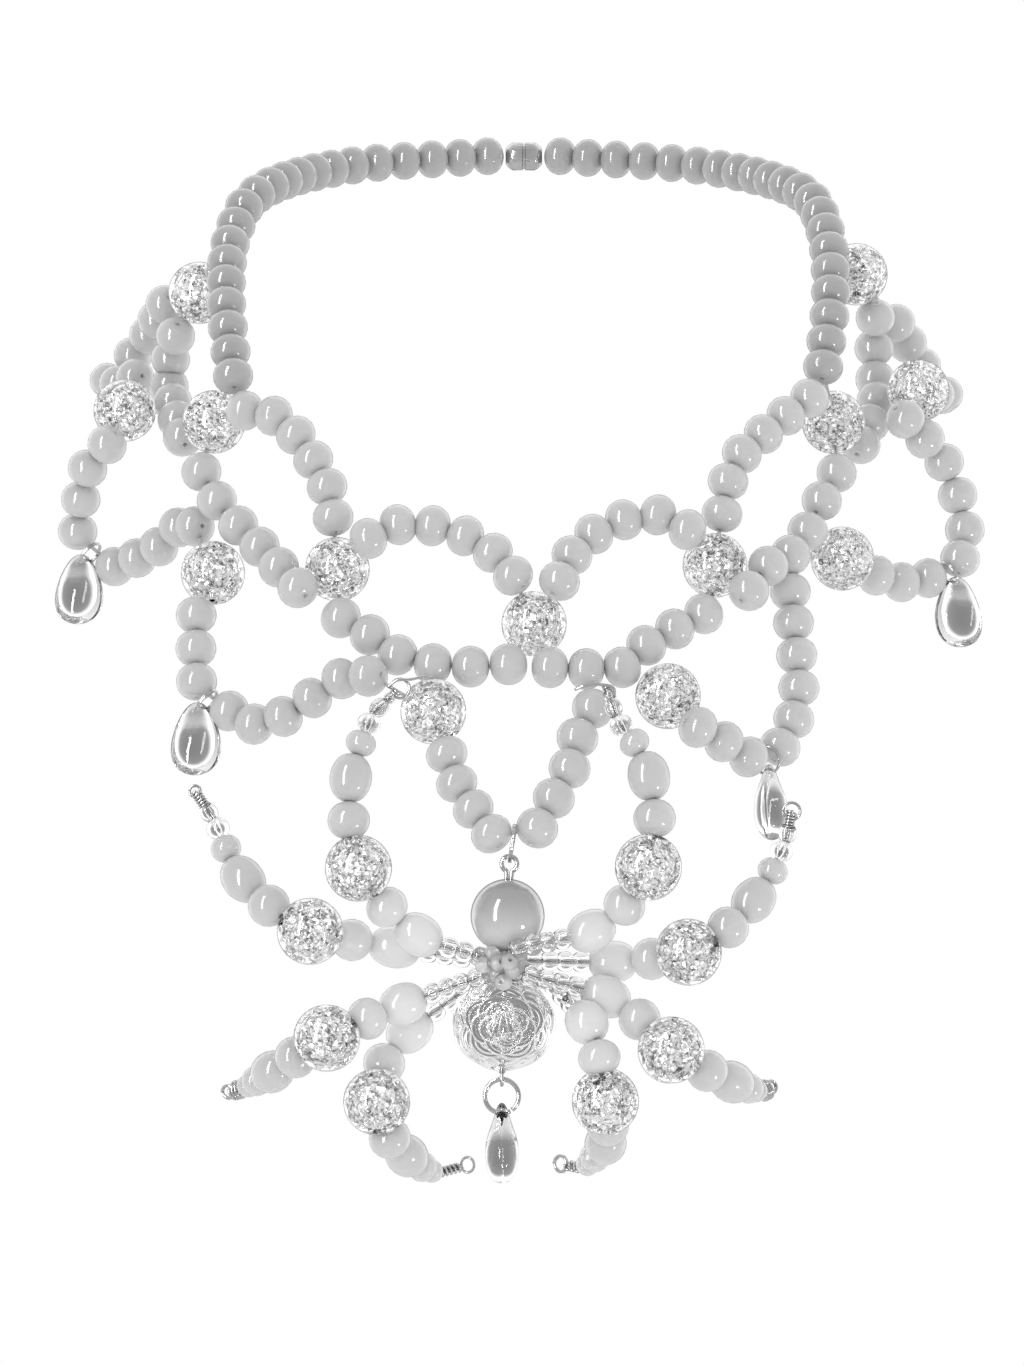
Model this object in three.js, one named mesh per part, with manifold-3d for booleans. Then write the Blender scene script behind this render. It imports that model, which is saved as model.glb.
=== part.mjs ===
// Beaded net choker with a hanging spider pendant.
//
// Frame: millimetres, +Z up, the wearer faces -Y. The origin is the centre of the neck.
// The net is a row of upper scallops between crackle beads, a row of middle scallops hanging
// from the same beads, and a lower row that carries the glass drops and, at its middle, the spider.

import * as THREE from 'three';
import { mergeVertices } from 'three/addons/utils/BufferGeometryUtils.js';
import Module from 'manifold-3d';

const wasm = await Module();
wasm.setup();

// ---- driving dimensions ----

const PEARL = { radius: 4.1, half: 3.65 }; // round milky bead, half is its half length on the thread
const CRACKLE_RADIUS = 6.5;
const THREAD_RADIUS = 0.4;
const BEAD_HOLE_RADIUS = 0.9; // solid left where two beads of one strand meet
const SMALL_BEAD_HOLE = 0.45; // the same on a small bead, as a part of its radius
const WIRE_STEP = 0.5; // from the last bead's hole to where its wire has its own thickness
const BEAD_SIDES = 6;
const BEAD_LATITUDES = [-50, 0, 50]; // degrees, where each bead has a ring of points
const GAP = 0.3; // between pieces that touch
const HOLE_PLAY = 0.5; // between a ring's wire and the top of a drop's hole

// The throat, chest and shoulders that the net rests on, as a depth under each place.
const SKIN = { throat: 50.5, slope: 0.15, swell: 0.0022, shoulder: 44, halfWidth: 84, power: 2.7 };

const CHEST_LEAN = THREE.MathUtils.degToRad(24); // of a drop that rests on the chest

const NET_RING = { mid: 2.8, wire: 0.4 };
const TAIL_RING = { mid: 3.3, wire: 0.5 };
const PENDANT_RING = { mid: 3.6, wire: 0.4, lean: THREE.MathUtils.degToRad(9) };
const UPPER_EYE = { mid: 1.5, wire: 0.4 };
const PIN_NECK = 1.0; // bare pin between the upper eye and the head
const LOWER_EYE = { mid: 1.15, wire: 0.35 };
const DROP = { length: 15.6, width: 9.4, thickness: 6.2, neckThickness: 2.7, holeRadius: 1.5, rim: 1.0 };
const DROP_ROUNDNESS = 0.9; // 1 is an ellipse, less is fuller
const DROP_TAPER = 0.28; // how much narrower the tip is than the foot
const CLASP = { radius: 3, length: 8, y: 51.6, z: 39 };

const HEAD_RADIUS = 7.2;
const ROSE = { width: 20.2, height: 18.6, thickness: 12 };
const PETALS = { count: 5, twist: 5, height: 0.045 }; // spiral ridges round the rose
const PIN_RADIUS = 0.6;
const PIN_LEAN = -0.035; // sideways for each millimetre down
const WAIST = 4.5; // bare pin between head and rose, where the legs are rooted

// ---- materials ----

const milky = () => new THREE.MeshStandardMaterial({ color: 0xd8d8d6, roughness: 0.25, metalness: 0 });
const catsEye = () => new THREE.MeshStandardMaterial({ color: 0xb9b9b7, roughness: 0.15, metalness: 0 });
const crackled = () => new THREE.MeshStandardMaterial({ color: 0xe9eceb, roughness: 0.35, metalness: 0 });
const clear = () => new THREE.MeshStandardMaterial({ color: 0xdfe4e4, roughness: 0.08, metalness: 0 });
const silver = () => new THREE.MeshStandardMaterial({ color: 0xc9c9c7, roughness: 0.25, metalness: 1 });

// ---- tables: places in x, z and, where it isn't the skin's own, y ----

const CRACKLES = [
  { name: 'crackle_upper_centre', x: 1.8, z: -64.8, y: -66.5 },
  { name: 'crackle_upper_left', x: -37.6, z: -53.8, y: -57.5 },
  { name: 'crackle_upper_right', x: 38.1, z: -53.0, y: -57.0 },
  { name: 'crackle_upper_left_side', x: -63.8, z: -23.0, y: -30 },
  { name: 'crackle_upper_right_side', x: 63.5, z: -23.0, y: -28 },
  { name: 'crackle_upper_left_back', x: -68.0, z: 5.0, y: -7.8 },
  { name: 'crackle_upper_right_back', x: 69.4, z: 8.8, y: -8.8 },
  { name: 'crackle_lower_left', x: -18.1, z: -82.2, y: -77.2 },
  { name: 'crackle_lower_right', x: 28.2, z: -79.2, y: -74.5 },
  { name: 'crackle_lower_left_side', x: -63.2, z: -54.3, y: -45 },
  { name: 'crackle_lower_right_side', x: 64.6, z: -51.3, y: -40.5 },
  { name: 'crackle_lower_left_back', x: -83.2, z: -19.9, y: -13.5 },
  { name: 'crackle_lower_right_back', x: 81.8, z: -15.9, y: -15.5 },
];

// Each strand's beads sit evenly on a curve through its route. Where ring is given, the strand's
// thread runs on towards the next strand, with a ring and a drop hung on the bare thread. Where
// turns is given, the ring and the drop have turned by so many degrees about the way they hang.
const STRANDS = [
  // the neck loop
  { name: 'neck_strand_left', beads: 21, route: [
    [-59.5, -14.0, -37.5], [-61.6, 3.0, -24], [-61.0, 17.0, -9],
    [-55.4, 27.6, 6], [-38, 35.5, 36], [-8, 39, 51]] },
  { name: 'neck_strand_right', beads: 21, route: [
    [61.0, -12.0, -35], [63.2, 4.0, -24], [62.6, 18.6, -9],
    [57.6, 28, 8], [39, 35.5, 37], [8, 39, 51]] },
  // upper scallops
  { name: 'upper_scallop_left', beads: 6, route: [
    [-57.0, -21.2, -40.5], [-49.0, -23.6, -45], [-40.8, -34.8, -52], [-38.5, -43.4, -56]] },
  { name: 'upper_scallop_centre_left', beads: 6, route: [
    [-31.2, -47.8, -64.5], [-22.6, -44.6, -61.5], [-9.4, -48.4, -64], [-2.4, -55.3, -69]] },
  { name: 'upper_scallop_centre_right', beads: 6, route: [
    [6.8, -56.4, -71], [11.8, -48.2, -64.6], [24.2, -42.8, -60.5], [32.4, -46.0, -63.2]] },
  { name: 'upper_scallop_right', beads: 6, route: [
    [39.6, -42.6, -54.6], [42.5, -32.0, -50.8], [52.0, -23.2, -43.5], [58.0, -18.6, -39.5]] },
  // middle scallops
  { name: 'middle_scallop_left_back', beads: 6, route: [
    [-73.0, -4.0, -7.5], [-75.0, -11.7, 1], [-73.4, -18.5, -9], [-70.7, -25.7, -21]] },
  { name: 'middle_scallop_left', beads: 6, route: [
    [-66.1, -33.4, -34.8], [-61.5, -41.2], [-55.1, -47.5], [-45.3, -57.6, -63.4]] },
  { name: 'middle_scallop_centre_left', beads: 6, route: [
    [-36.7, -63.6], [-30.2, -67.4], [-23.0, -72.0], [-10.1, -73.4], [-3.3, -72.9]] },
  { name: 'middle_scallop_centre_right', beads: 6, route: [
    [4.9, -73.5], [18.8, -73.6], [24.5, -68.8], [35.6, -62.8]] },
  { name: 'middle_scallop_right', beads: 6, route: [
    [44.6, -58.2, -64.2], [49.5, -52.5, -57.5], [55.5, -49.6], [58.2, -43.5], [63.7, -33.7, -36]] },
  { name: 'middle_scallop_right_back', beads: 6, route: [
    [69.6, -27.2, -19.5], [73.4, -18.5, -9], [73.6, -9.0, 1], [73.6, 0.0, -4.5]] },
  // lower row, left to right
  { name: 'lower_scallop_left_back', beads: 7, route: [
    [-75.6, 3.0, -1], [-81.6, -4.6, 16.0], [-89.4, -13.0, 19.0], [-82.4, -12.0, 6.8]] },
  { name: 'lower_strand_left_side_down', beads: 4, ring: 'left_side', route: [
    [-86.4, -27.3, -20.5], [-91.2, -33.2, -16.5], [-93.2, -45.0, -11]] },
  { name: 'lower_strand_left_side_up', beads: 5, route: [
    [-85.2, -52.4, -15.2], [-76.5, -49.2, -24], [-71.0, -44.6, -29.5], [-67.4, -44.6, -35.5]] },
  { name: 'lower_strand_left_down', beads: 3, ring: 'left', route: [
    [-66.3, -62.9, -50.2], [-66.2, -69.6, -53], [-65.9, -76.3, -56]] },
  { name: 'lower_strand_left_up', beads: 6, route: [
    [-59.2, -82.2, -59.2], [-53.8, -84.8, -63.5], [-46.8, -82.6, -67.5], [-36.6, -75.8, -70.5],
    [-31.0, -75.2, -75]] },
  { name: 'v_strand_left', beads: 4, ring: 'pendant', route: [
    [-15.4, -90.6, -82.5], [-12.9, -97.2, -86.0], [-6.6, -105.9, -91.6]] },
  { name: 'v_strand_right', beads: 5, route: [
    [2.3, -104.8, -91.4], [8.8, -93.0, -84.5], [10.4, -86.9, -80.5], [13.3, -81.6, -77.3]] },
  { name: 'lower_strand_right_down', beads: 3, ring: 'right', turns: [22, 42], route: [
    [33.9, -85.3, -81], [39.2, -88.2, -77.5], [44.2, -91.2, -74]] },
  { name: 'lower_strand_right_up', beads: 6, route: [
    [50.6, -89.3, -68], [53.6, -83.6, -64.5], [54.7, -77.5, -61.5],
    [53.9, -64.7, -56.2], [53.4, -58.2, -53]] },
  { name: 'lower_strand_right_side_down', beads: 3, ring: 'right_side', route: [
    [72.0, -54.6, -33.4], [77.4, -55.9, -29.3], [83.2, -55.0, -25.5]] },
  { name: 'lower_strand_right_side_up', beads: 6, route: [
    [90.0, -50.9, -22], [91.2, -43.5, -17.5], [87.2, -31.0, -17], [78.4, -22.2, -25.5]] },
  { name: 'lower_scallop_right_back', beads: 6, route: [
    [78.6, -0.5, 5.5], [84.6, -8.6, 17.0], [90.5, -16.5, 17.5], [83.0, -12.6, 6.5]] },
];

// Beads of the legs: radius, and half their length on the wire.
const LEG_BEAD = {
  seed: { radius: 1.9, half: 1.7 },
  oval: { radius: 4.0, half: 5.1 },
  round: { radius: 4.0, half: 3.9 },
  crackle: { radius: CRACKLE_RADIUS, half: CRACKLE_RADIUS - 0.1 },
  small: { radius: 2.9, half: 2.6 },
  end: { radius: 2.2, half: 2.0 },
};
const LEG_ORDER = ['oval', 'round', 'crackle', 'round', 'oval', 'small', 'end'];
const LEG_WIRE_RADIUS = 0.8;

// Each leg runs from its root beside the pin over hip, knee and shin to its foot, in x, z, y.
const LEGS = [
  { name: 'leg_left_1', seeds: 3, foot: [-25.5, -78.7, -90], route: [
    [-8.8, -129.8, -93.5], [-21.4, -125.0, -93.5], [-32.7, -111.6, -97],
    [-33.9, -95.1, -94], [-30.4, -84.4, -91.5]] },
  { name: 'leg_left_2', seeds: 4, foot: [-64.4, -98.6, -80], route: [
    [-9.0, -130.6, -88.3], [-29.2, -127.6, -85.5], [-44.0, -123.8, -94.5],
    [-55.5, -114.5, -86], [-60.3, -105.2, -81]] },
  { name: 'leg_left_3', seeds: 4, foot: [-57.8, -157.2, -74], route: [
    [-9.6, -133.9, -95], [-24.2, -139.2, -92], [-37.2, -144.6, -98],
    [-48.9, -152.2, -87], [-54.6, -156.0, -77]] },
  { name: 'leg_left_4', seeds: 4, foot: [-12.4, -172.4, -70], route: [
    [-9.8, -134.9, -86.8], [-25.9, -148.0, -87.0], [-28.6, -160.2, -96],
    [-22.8, -169.5, -84], [-18.4, -173.0, -75]] },
  { name: 'leg_right_1', seeds: 4, foot: [16.6, -79.8, -91], route: [
    [-1.4, -127.9, -99], [14.9, -123.6, -92], [24.4, -110.4, -98],
    [23.6, -93.1, -94.5], [18.6, -84.8, -92.5]] },
  { name: 'leg_right_2', seeds: 4, foot: [51.8, -103.0, -86], route: [
    [1.6, -130.8, -88.2], [19.2, -131.0, -85.0], [34.1, -127.7, -96],
    [45.6, -117.6, -89], [50.0, -109.4, -86.5]] },
  { name: 'leg_right_3', seeds: 4, foot: [48.0, -156.8, -73], route: [
    [1.0, -133.2, -95.6], [17.6, -138.6, -89.4], [28.9, -148.1, -98],
    [40.7, -154.7, -86], [45.6, -157.0, -76]] },
  { name: 'leg_right_4', seeds: 3, foot: [8.0, -172.2, -69], route: [
    [5.6, -135.8, -86.6], [12.8, -144.0, -95.5], [15.3, -156.3, -98],
    [15.9, -166.2, -84], [12.2, -171.8, -74]] },
];

// ---- helpers ----

const up = new THREE.Vector3(0, 0, 1);
const down = new THREE.Vector3(0, 0, -1);
const right = new THREE.Vector3(1, 0, 0);
const back = new THREE.Vector3(0, 1, 0);

// The way a drop lies on the sloping chest.
const chestWay = new THREE.Vector3(0, -Math.sin(CHEST_LEAN), -Math.cos(CHEST_LEAN));

// How far forward the throat, chest and shoulders carry the net at a place.
function skinDepth(x, z) {
  const below = -z;
  const front = SKIN.throat + SKIN.slope * below + SKIN.swell * below * below;
  return SKIN.shoulder * (Math.abs(x) / SKIN.halfWidth) ** SKIN.power - front;
}

function routePoint([x, z, y]) {
  return new THREE.Vector3(x, y ?? skinDepth(x, z), z);
}

function routeCurve(route) {
  return new THREE.CatmullRomCurve3(route.map(routePoint), false, 'catmullrom', 0.5);
}

// A closed skin over a row of rings, each with a centre, a direction and a radius.
function ringLoft(rings, sides) {
  const positions = [];
  const index = [];
  const first = rings[0].direction;
  const helper = Math.abs(first.z) < 0.8 ? up : right;
  let across = new THREE.Vector3().crossVectors(first, helper).normalize();
  for (const ring of rings) {
    across = across.clone().addScaledVector(ring.direction, -across.dot(ring.direction)).normalize();
    const other = new THREE.Vector3().crossVectors(ring.direction, across);
    for (let side = 0; side < sides; side += 1) {
      const angle = (2 * Math.PI * side) / sides;
      const point = ring.centre.clone();
      point.addScaledVector(across, ring.radius * Math.cos(angle));
      point.addScaledVector(other, ring.radius * Math.sin(angle));
      positions.push(point.x, point.y, point.z);
    }
  }
  for (let row = 0; row < rings.length - 1; row += 1) {
    for (let side = 0; side < sides; side += 1) {
      const next = (side + 1) % sides;
      const a = row * sides + side;
      const b = row * sides + next;
      index.push(a, b, b + sides, a, b + sides, a + sides);
    }
  }
  const last = (rings.length - 1) * sides;
  for (let side = 1; side < sides - 1; side += 1) {
    index.push(0, side + 1, side);
    index.push(last, last + side, last + side + 1);
  }
  const geometry = new THREE.BufferGeometry();
  geometry.setAttribute('position', new THREE.Float32BufferAttribute(positions, 3));
  geometry.setIndex(index);
  geometry.computeVertexNormals();
  return geometry;
}

// Rings over a row of beads that touch, each bead with a centre, a direction, a radius and a half.
function beadRings(beads) {
  const rings = [];
  const neckOf = (bead) => Math.min(BEAD_HOLE_RADIUS, SMALL_BEAD_HOLE * bead.radius);
  beads.forEach((bead, place) => {
    const start = bead.centre.clone().addScaledVector(bead.direction, -bead.half);
    if (place === 0) {
      rings.push({ centre: start, direction: bead.direction, radius: neckOf(bead) });
    } else {
      const before = beads[place - 1];
      const end = before.centre.clone().addScaledVector(before.direction, before.half);
      const direction = bead.centre.clone().sub(before.centre).normalize();
      const radius = Math.min(neckOf(bead), neckOf(before));
      rings.push({ centre: end.lerp(start, 0.5), direction, radius });
    }
    for (const degrees of BEAD_LATITUDES) {
      const latitude = THREE.MathUtils.degToRad(degrees);
      const centre = bead.centre.clone().addScaledVector(bead.direction, bead.half * Math.sin(latitude));
      rings.push({ centre, direction: bead.direction, radius: bead.radius * Math.cos(latitude) });
    }
  });
  const last = beads[beads.length - 1];
  const end = last.centre.clone().addScaledVector(last.direction, last.half);
  rings.push({ centre: end, direction: last.direction, radius: neckOf(last) });
  return rings;
}

// A bare thread or wire from the end of the last bead to a point, bent evenly where it leaves the bead.
function addWire(rings, end, radius) {
  const last = rings[rings.length - 1];
  const direction = end.clone().sub(last.centre).normalize();
  const bend = direction.clone().add(last.direction).normalize();
  rings.push({ centre: last.centre.clone().addScaledVector(bend, WIRE_STEP), direction: bend, radius });
  rings.push({ centre: end, direction, radius });
}

// Two beads that would pass into each other where their row bends are made shorter along it.
function easeBends(beads) {
  beads.slice(1).forEach((bead, place) => {
    const before = beads[place];
    const apart = bead.centre.clone().sub(before.centre);
    const space = apart.length();
    const reach = ({ direction, radius, half }) => {
      const along = direction.dot(apart) / space;
      return Math.hypot(half * along, radius * Math.sqrt(1 - along * along));
    };
    const excess = Math.max(0, reach(before) + reach(bead) - space);
    before.half -= excess / 2;
    bead.half -= excess / 2;
  });
  return beads;
}

const group = new THREE.Group();

function addMesh(name, geometry, material) {
  const mesh = new THREE.Mesh(geometry, material);
  mesh.name = name;
  group.add(mesh);
  return mesh;
}

// ---- net: strands of round beads ----

function strandBeads({ beads, route }) {
  const curve = routeCurve(route);
  const pitch = curve.getLength() / (beads - 1);
  return easeBends(Array.from({ length: beads }, (_, place) => ({
    centre: curve.getPointAt(place / (beads - 1)),
    direction: curve.getTangentAt(place / (beads - 1)),
    radius: PEARL.radius,
    half: Math.min(PEARL.half, pitch / 2),
  })));
}

// A ring square to the thread or wire that it hangs on, and the place of its foot.
function hangRing(name, point, along, hangWay, size, threadRadius) {
  const hang = hangWay.clone().addScaledVector(along, -hangWay.dot(along)).normalize();
  const centre = point.clone().addScaledVector(hang, size.mid - size.wire - threadRadius - GAP);
  const ring = addMesh(name, new THREE.TorusGeometry(size.mid, size.wire, 6, 12), silver());
  ring.position.copy(centre);
  ring.quaternion.setFromUnitVectors(up, along);
  return centre.addScaledVector(hang, size.mid);
}

// ---- drops: flat glass teardrops with a hole near the tip ----

function toSolid(geometry) {
  const bare = geometry.clone();
  bare.deleteAttribute('normal');
  bare.deleteAttribute('uv');
  const merged = mergeVertices(bare, 1e-4);
  const mesh = new wasm.Mesh({
    numProp: 3,
    vertProperties: new Float32Array(merged.attributes.position.array),
    triVerts: new Uint32Array(merged.index.array),
  });
  return new wasm.Manifold(mesh);
}

function toGeometry(solid) {
  const mesh = solid.getMesh();
  const geometry = new THREE.BufferGeometry();
  geometry.setAttribute('position', new THREE.BufferAttribute(mesh.vertProperties, 3));
  geometry.setIndex(new THREE.BufferAttribute(mesh.triVerts, 1));
  geometry.computeVertexNormals();
  return geometry;
}

// Width to each side of the drop at a height from -1 at its foot to 1 at its tip.
function dropHalfWidth(height) {
  const ellipse = Math.sqrt(1 - height * height);
  return (DROP.width / 2) * ellipse ** DROP_ROUNDNESS * (1 - DROP_TAPER * height);
}

// The drop hangs in its own frame: its hole's centre is the origin, its face looks along -Y.
function dropGeometry() {
  const rows = 9;
  const profile = [];
  for (let row = 0; row <= rows; row += 1) {
    const height = -Math.cos((Math.PI * row) / rows);
    profile.push(new THREE.Vector2(Math.max(0, dropHalfWidth(height)), (height * DROP.length) / 2));
  }
  profile[0].x = 0;
  profile[rows].x = 0;
  const body = new THREE.LatheGeometry(profile, 12);
  body.rotateX(Math.PI / 2);
  const holeHeight = DROP.length / 2 - DROP.rim - DROP.holeRadius;
  const places = body.attributes.position;
  const fullRatio = DROP.thickness / DROP.width;
  const neckRatio = DROP.neckThickness / (2 * dropHalfWidth((2 * holeHeight) / DROP.length));
  for (let place = 0; place < places.count; place += 1) {
    const thinning = THREE.MathUtils.smoothstep(places.getZ(place), 0, holeHeight);
    const ratio = THREE.MathUtils.lerp(fullRatio, neckRatio, thinning);
    places.setY(place, places.getY(place) * ratio);
  }
  const drill = new THREE.CylinderGeometry(DROP.holeRadius, DROP.holeRadius, DROP.width, 10);
  drill.translate(0, 0, holeHeight);
  const geometry = toGeometry(toSolid(body).subtract(toSolid(drill)));
  geometry.translate(0, 0, -holeHeight);
  return geometry;
}

const drop = dropGeometry();

// The ring's wire crosses the drop's hole from face to face, just under the hole's top.
function hangDrop(name, ringFoot, along, hangWay, size) {
  const face = new THREE.Vector3().crossVectors(hangWay, along).normalize();
  const top = hangWay.clone().negate();
  const side = new THREE.Vector3().crossVectors(face, top);
  const mesh = addMesh(name, drop.clone(), clear());
  mesh.quaternion.setFromRotationMatrix(new THREE.Matrix4().makeBasis(side, face, top));
  mesh.position.copy(ringFoot).addScaledVector(hangWay, DROP.holeRadius - size.wire - HOLE_PLAY);
}

// ---- the net ----

for (const { name, x, y, z } of CRACKLES) {
  const bead = addMesh(name, new THREE.SphereGeometry(CRACKLE_RADIUS, 10, 7), crackled());
  bead.position.set(x, y, z);
  bead.rotation.x = Math.PI / 2;
}

const pendantThread = new THREE.Vector3();
STRANDS.forEach((strand, place) => {
  const beads = strandBeads(strand);
  const rings = beadRings(beads);
  if (strand.ring) {
    const next = strandBeads(STRANDS[place + 1])[0];
    const last = beads[beads.length - 1];
    const span = next.centre.clone().sub(last.centre);
    const along = span.clone().normalize();
    const threadEnd = next.centre.clone().addScaledVector(along, -next.radius - GAP);
    const middle = last.centre.clone().lerp(next.centre, 0.5);
    addWire(rings, threadEnd, THREAD_RADIUS);
    if (strand.ring === 'pendant') {
      pendantThread.copy(middle);
    } else {
      const [ringWay, dropWay] = (strand.turns ?? [0, 0]).map((degrees) => (
        along.clone().applyAxisAngle(chestWay, -THREE.MathUtils.degToRad(degrees))));
      const foot = hangRing(`ring_${strand.ring}`, middle, ringWay, chestWay, NET_RING, THREAD_RADIUS);
      hangDrop(`drop_${strand.ring}`, foot, dropWay, chestWay, NET_RING);
    }
  }
  addMesh(strand.name, ringLoft(rings, BEAD_SIDES), milky());
});

// A plain barrel clasp closes the neck loop behind the nape.
const barrel = new THREE.CylinderGeometry(CLASP.radius, CLASP.radius, CLASP.length, 12);
const clasp = addMesh('clasp', barrel, silver());
clasp.rotation.z = Math.PI / 2;
clasp.position.set(0, CLASP.y, CLASP.z);

// ---- the pendant: ring, eye pin, head, rose, tail and legs ----

const ringHang = down.clone().applyAxisAngle(back, PENDANT_RING.lean);
const ringNormal = right.clone().applyAxisAngle(back, PENDANT_RING.lean);
const ringFoot = hangRing(
  'pendant_ring', pendantThread, ringNormal, ringHang, PENDANT_RING, THREAD_RADIUS);

// The pin's upper eye hangs on the ring's foot, with the gap inside its top.
const eyeDrop = UPPER_EYE.mid - UPPER_EYE.wire - PENDANT_RING.wire - GAP;
const upperEye = ringFoot.clone().addScaledVector(down, eyeDrop);
const pinWay = new THREE.Vector3(PIN_LEAN, 0, -1).normalize();
const alongPin = (distance) => upperEye.clone().addScaledVector(pinWay, distance);
const headCentre = alongPin(UPPER_EYE.mid + UPPER_EYE.wire + PIN_NECK + HEAD_RADIUS);
const roseCentre = headCentre.clone().addScaledVector(pinWay, HEAD_RADIUS + WAIST + ROSE.height / 2);
const eyeBelowRose = ROSE.height / 2 + LOWER_EYE.mid + LOWER_EYE.wire;
const lowerEye = roseCentre.clone().addScaledVector(pinWay, eyeBelowRose);

function rod(from, to, radius, sides) {
  const geometry = new THREE.CylinderGeometry(radius, radius, from.distanceTo(to), sides);
  const turn = new THREE.Quaternion().setFromUnitVectors(back, to.clone().sub(from).normalize());
  geometry.applyQuaternion(turn);
  const middle = from.clone().lerp(to, 0.5);
  geometry.translate(middle.x, middle.y, middle.z);
  return geometry;
}

function eyeAt(centre, normal, size) {
  const geometry = new THREE.TorusGeometry(size.mid, size.wire, 6, 12);
  geometry.applyQuaternion(new THREE.Quaternion().setFromUnitVectors(up, normal));
  geometry.translate(centre.x, centre.y, centre.z);
  return geometry;
}

const shaftTop = upperEye.clone().addScaledVector(pinWay, UPPER_EYE.mid);
const shaftFoot = lowerEye.clone().addScaledVector(pinWay, -LOWER_EYE.mid);
const shaft = toSolid(rod(shaftTop, shaftFoot, PIN_RADIUS, 8));
const eyes = [eyeAt(upperEye, back, UPPER_EYE), eyeAt(lowerEye, right, LOWER_EYE)].map(toSolid);
const pin = shaft.add(eyes[0]).add(eyes[1]);
addMesh('eye_pin', toGeometry(pin), silver());

const bore = toSolid(rod(shaftTop, shaftFoot, PIN_RADIUS + GAP, 8));

const headBall = new THREE.SphereGeometry(HEAD_RADIUS, 16, 10);
headBall.translate(headCentre.x, headCentre.y, headCentre.z);
addMesh('head_bead', toGeometry(toSolid(headBall).subtract(bore)), catsEye());

// The rose is a flattened ball, its petals a spiral of low ridges round the front.
function roseGeometry() {
  const geometry = new THREE.SphereGeometry(1, 18, 10);
  const places = geometry.attributes.position;
  for (let place = 0; place < places.count; place += 1) {
    const point = new THREE.Vector3().fromBufferAttribute(places, place);
    const spread = Math.hypot(point.x, point.z);
    const turn = Math.atan2(point.z, point.x);
    const wave = Math.sin(PETALS.count * turn + PETALS.twist * spread);
    point.multiplyScalar(1 + PETALS.height * spread * (wave - 1));
    places.setXYZ(place, point.x, point.y, point.z);
  }
  geometry.scale(ROSE.width / 2, ROSE.thickness / 2, ROSE.height / 2);
  geometry.translate(roseCentre.x, roseCentre.y, roseCentre.z);
  return geometry;
}

addMesh('rose_bead', toGeometry(toSolid(roseGeometry()).subtract(bore)), clear());

const eyeFoot = lowerEye.clone().addScaledVector(down, LOWER_EYE.mid);
const tailFoot = hangRing('tail_ring', eyeFoot, back, down, TAIL_RING, LOWER_EYE.wire);
hangDrop('tail_drop', tailFoot, back, down, TAIL_RING);

function legBeads({ seeds, route }) {
  const kinds = [...Array(seeds).fill('seed'), ...LEG_ORDER].map((kind) => LEG_BEAD[kind]);
  const places = [0];
  for (let bead = 1; bead < kinds.length; bead += 1) {
    places.push(places[bead - 1] + kinds[bead - 1].half + kinds[bead].half);
  }
  const curve = routeCurve(route);
  const stretch = curve.getLength() / places[places.length - 1];
  return easeBends(kinds.map(({ radius, half }, bead) => {
    const along = Math.min(1, places[bead] / places[places.length - 1]);
    return {
      centre: curve.getPointAt(along),
      direction: curve.getTangentAt(along),
      radius,
      half: half * Math.min(1, stretch),
    };
  }));
}

for (const leg of LEGS) {
  const rings = beadRings(legBeads(leg));
  addWire(rings, routePoint(leg.foot), LEG_WIRE_RADIUS);
  addMesh(leg.name, ringLoft(rings, BEAD_SIDES), milky());
}

export default group;
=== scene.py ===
# %% [markdown]
# # A glass bead choker with a spider pendant
# A net of round milky beads, crackle beads and teardrops lies round a neck, and a glass spider
# hangs at its middle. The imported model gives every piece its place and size. This lesson makes
# each piece again as it is on the real choker: bored beads on a thread, crazed glass, a pressed
# rose, and silver wire with its turns and loops.

# %% Load the model
import math

import bpy
import numpy as np
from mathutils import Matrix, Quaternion, Vector


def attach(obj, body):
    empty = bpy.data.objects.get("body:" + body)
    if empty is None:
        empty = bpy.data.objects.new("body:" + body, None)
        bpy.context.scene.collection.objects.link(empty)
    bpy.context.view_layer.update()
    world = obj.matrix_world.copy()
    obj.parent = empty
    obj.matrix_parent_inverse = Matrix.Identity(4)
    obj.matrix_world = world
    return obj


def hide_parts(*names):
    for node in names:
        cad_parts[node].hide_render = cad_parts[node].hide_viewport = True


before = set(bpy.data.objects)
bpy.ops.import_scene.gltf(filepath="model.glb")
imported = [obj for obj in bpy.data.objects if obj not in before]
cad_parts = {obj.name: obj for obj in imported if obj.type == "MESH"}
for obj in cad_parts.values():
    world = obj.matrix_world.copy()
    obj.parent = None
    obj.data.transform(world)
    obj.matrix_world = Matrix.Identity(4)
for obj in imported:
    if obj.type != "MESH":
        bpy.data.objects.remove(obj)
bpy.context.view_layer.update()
MM = 0.001

# %% [markdown]
# ## Where the camera stands
# The choker is seen level, from straight ahead of the wearer, with a long lens: a long lens keeps
# round beads round at the edge of the picture. Sensor width belongs to the picture's long side.

# %% Camera
SENSOR = 36.0
LONG_SIDE = 1365
FOCAL = 5700
camera = bpy.data.objects.new("camera", bpy.data.cameras.new("camera"))
bpy.context.scene.collection.objects.link(camera)
bpy.context.scene.camera = camera
camera.data.sensor_width = SENSOR
camera.data.lens = SENSOR * FOCAL / LONG_SIDE
camera.location = (-2.6 * MM, -1200 * MM, -76.5 * MM)
camera.rotation_euler = (math.radians(90), 0, 0)
camera.data.clip_start, camera.data.clip_end = 0.05, 50
print("lens in mm:", round(camera.data.lens, 1))

# %% [markdown]
# ## Mesh pieces
# Each piece is collected as lists of points and faces, in millimetres, with a finish for each
# face, and becomes one object at the end. Arrays keep this quick with thousands of faces.


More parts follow.
